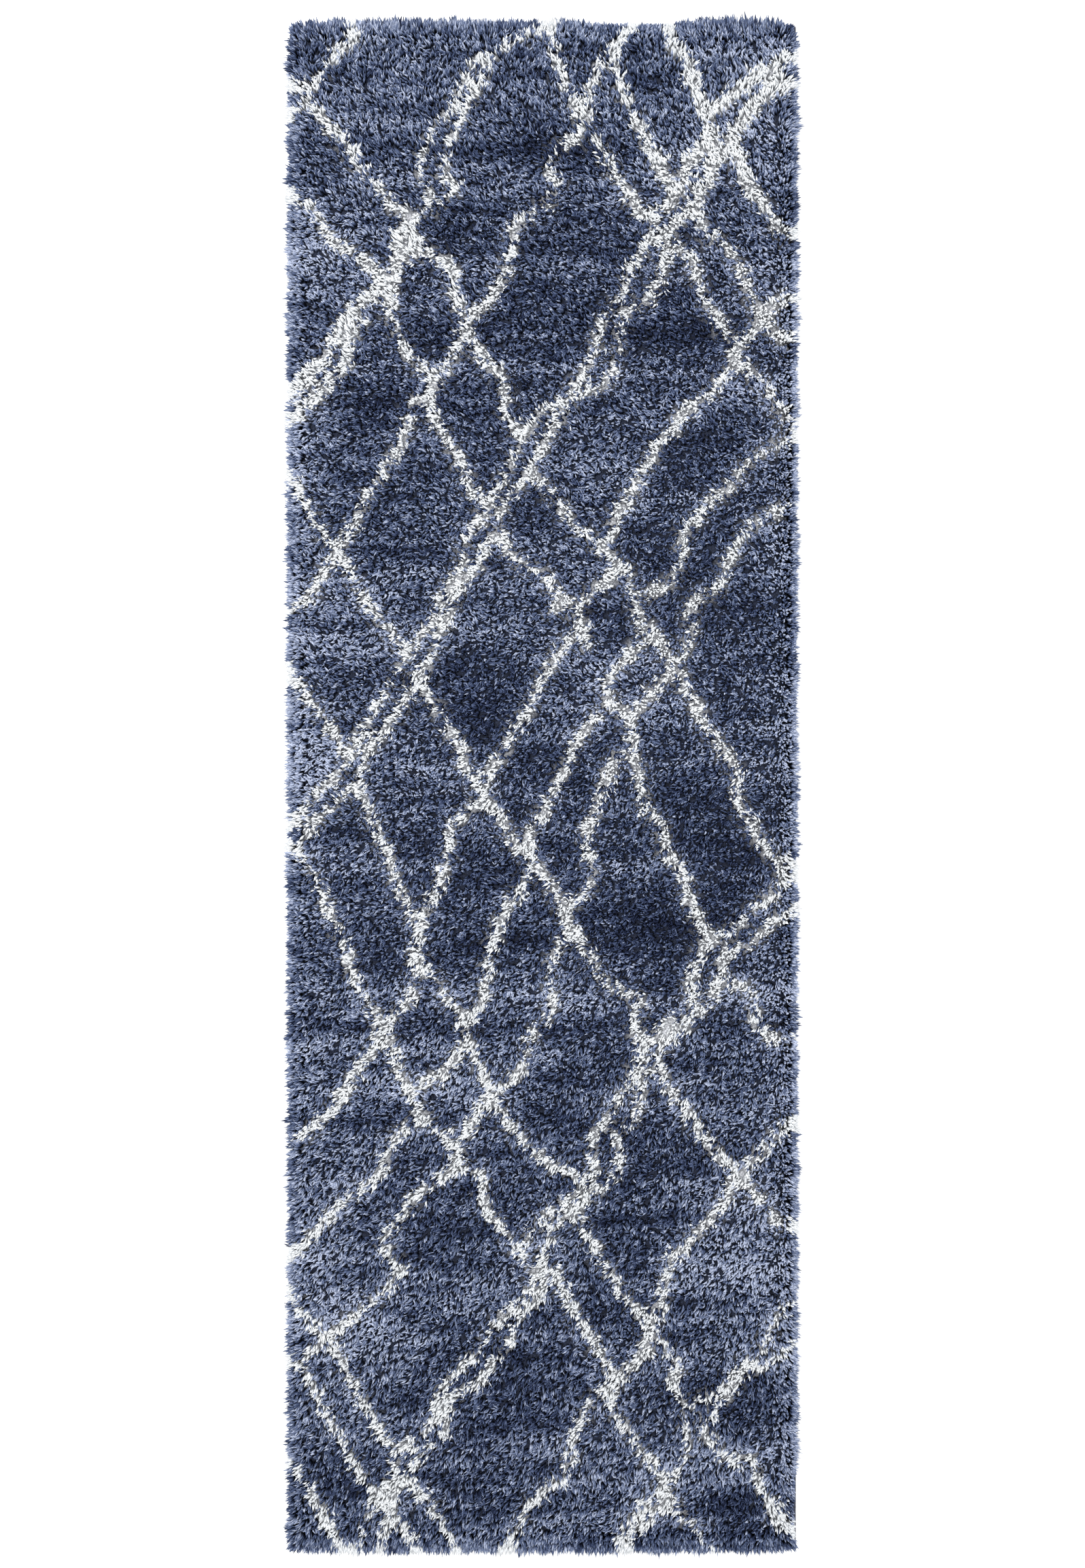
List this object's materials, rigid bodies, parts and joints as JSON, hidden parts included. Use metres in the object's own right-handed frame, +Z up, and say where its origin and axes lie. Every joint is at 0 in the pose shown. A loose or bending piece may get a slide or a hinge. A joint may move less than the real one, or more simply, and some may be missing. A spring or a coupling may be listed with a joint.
{
  "type": "runner rug",
  "caption": "Long-pile runner rug in heathered blue with wandering ivory lines, overlocked in navy along all four edges.",
  "frame": {"origin": "on the floor, under the middle of the rug", "axes": "+Y along the rug's length towards its far end, +X towards its right side, +Z up out of the pile"},
  "size_m": [0.674, 2.008, 0.03],
  "materials": {
    "heather_yarn": "matt long cut pile, heathered in navy, slate and pale blue",
    "ivory_yarn": "matt long cut pile, undyed ivory with a cool cast",
    "overlock_yarn": "matt navy wrapping yarn",
    "ground_cloth": "plain woven jute with cotton warps",
    "edge_cord": "twisted cotton"
  },
  "bodies": {
    "root": {"ground_cloth": "ground_cloth", "heather_pile": "heather_yarn", "ivory_lines": "ivory_yarn", "overlock_left": "overlock_yarn", "overlock_right": "overlock_yarn", "overlock_near": "overlock_yarn", "overlock_far": "overlock_yarn", "edge_cord_left": "edge_cord", "edge_cord_right": "edge_cord", "edge_cord_near": "edge_cord", "edge_cord_far": "edge_cord"}
  },
  "joints": []
}
